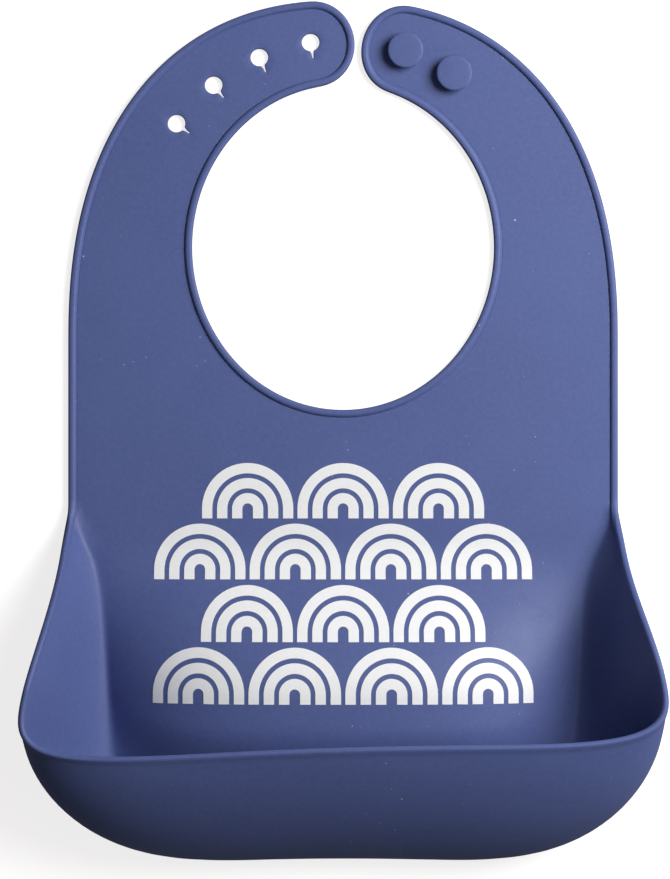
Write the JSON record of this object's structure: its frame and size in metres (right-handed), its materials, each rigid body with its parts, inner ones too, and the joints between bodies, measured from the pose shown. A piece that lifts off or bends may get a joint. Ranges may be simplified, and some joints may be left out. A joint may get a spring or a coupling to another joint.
{
  "type": "silicone bib",
  "caption": "Baby bib of moulded silicone lying flat: round neck opening, two straps closed by studs in key-hole holes, printed panel and an open scoop pocket.",
  "frame": {"origin": "middle of the underside of the bib lying on its back: centre of the bounding box in X and Y, at the lowest Z", "axes": "+X to the wearer's left as the front face is seen (right in plan), +Y from the pocket towards the neck straps, +Z out of the printed front face"},
  "size_m": [0.2252, 0.3077, 0.0502],
  "materials": {
    "silicone": "matte",
    "print": "matte ink"
  },
  "bodies": {
    "panel": {"front_panel": "silicone", "left_cheek": "silicone", "right_cheek": "silicone", "left_lip": "silicone", "right_lip": "silicone", "print_fan_1_band_1": "print", "print_fan_1_band_2": "print", "print_fan_1_band_3": "print", "print_fan_2_band_1": "print", "print_fan_2_band_2": "print", "print_fan_2_band_3": "print", "print_fan_3_band_1": "print", "print_fan_3_band_2": "print", "print_fan_3_band_3": "print", "print_fan_4_band_1": "print", "print_fan_4_band_2": "print", "print_fan_4_band_3": "print", "print_fan_5_band_1": "print", "print_fan_5_band_2": "print", "print_fan_5_band_3": "print", "print_fan_6_band_1": "print", "print_fan_6_band_2": "print", "print_fan_6_band_3": "print", "print_fan_7_band_1": "print", "print_fan_7_band_2": "print", "print_fan_7_band_3": "print", "print_fan_8_band_1": "print", "print_fan_8_band_2": "print", "print_fan_8_band_3": "print", "print_fan_9_band_1": "print", "print_fan_9_band_2": "print", "print_fan_9_band_3": "print", "print_fan_10_band_1": "print", "print_fan_10_band_2": "print", "print_fan_10_band_3": "print", "print_fan_11_band_1": "print", "print_fan_11_band_2": "print", "print_fan_11_band_3": "print", "print_fan_12_band_1": "print", "print_fan_12_band_2": "print", "print_fan_12_band_3": "print", "print_fan_13_band_1": "print", "print_fan_13_band_2": "print", "print_fan_13_band_3": "print", "print_fan_14_band_1": "print", "print_fan_14_band_2": "print", "print_fan_14_band_3": "print"},
    "pocket_front": {"pocket_front": "silicone", "front_lip": "silicone"},
    "yoke": {"neck_panel": "silicone"},
    "left_base": {"left_strap_base": "silicone"},
    "left_middle": {"left_strap_middle": "silicone"},
    "left_tip": {"left_strap_tip": "silicone"},
    "right_base": {"right_strap_base": "silicone"},
    "right_middle": {"right_strap_middle": "silicone"},
    "right_tip": {"right_strap_tip": "silicone", "inner_stud": "silicone", "outer_stud": "silicone"}
  },
  "joints": [
    {"name": "pocket_press", "type": "hinge", "parent": "panel", "child": "pocket_front", "pos_m": [0, -0.15, 0.001], "axis": [1, 0, 0], "range_deg": [0, 20], "stiffness_Nm_per_rad": 0.3},
    {"name": "panel_fold", "type": "hinge", "parent": "panel", "child": "yoke", "pos_m": [0, -0.0035, 0.0028], "axis": [1, 0, 0], "range_deg": [0, 90], "stiffness_Nm_per_rad": 0.06},
    {"name": "left_strap_curl", "type": "hinge", "parent": "yoke", "child": "left_base", "pos_m": [-0.0754, 0.076, 0.0028], "axis": [1, 0, 0], "range_deg": [0, 32], "stiffness_Nm_per_rad": 0.03},
    {"name": "left_strap_curl_2", "type": "hinge", "parent": "left_base", "child": "left_middle", "pos_m": [-0.06741, 0.09838, 0.0028], "axis": [0.8988, -0.4384, 0], "range_deg": [0, 32], "stiffness_Nm_per_rad": 0.03},
    {"name": "left_strap_curl_3", "type": "hinge", "parent": "left_middle", "child": "left_tip", "pos_m": [-0.05395, 0.1176, 0.0028], "axis": [0.7193, -0.6947, 0], "range_deg": [0, 32], "stiffness_Nm_per_rad": 0.03},
    {"name": "right_strap_curl", "type": "hinge", "parent": "yoke", "child": "right_base", "pos_m": [0.0754, 0.076, 0.0028], "axis": [1, 0, 0], "range_deg": [0, 32], "stiffness_Nm_per_rad": 0.03},
    {"name": "right_strap_curl_2", "type": "hinge", "parent": "right_base", "child": "right_middle", "pos_m": [0.06741, 0.09838, 0.0028], "axis": [0.8988, 0.4384, 0], "range_deg": [0, 32], "stiffness_Nm_per_rad": 0.03},
    {"name": "right_strap_curl_3", "type": "hinge", "parent": "right_middle", "child": "right_tip", "pos_m": [0.05395, 0.1176, 0.0028], "axis": [0.7193, 0.6947, 0], "range_deg": [0, 32], "stiffness_Nm_per_rad": 0.03}
  ],
  "couplings": [
    {"joint": "left_strap_curl_2", "follows": "left_strap_curl", "ratio": 1},
    {"joint": "left_strap_curl_3", "follows": "left_strap_curl", "ratio": 1},
    {"joint": "right_strap_curl_2", "follows": "right_strap_curl", "ratio": 1},
    {"joint": "right_strap_curl_3", "follows": "right_strap_curl", "ratio": 1}
  ]
}
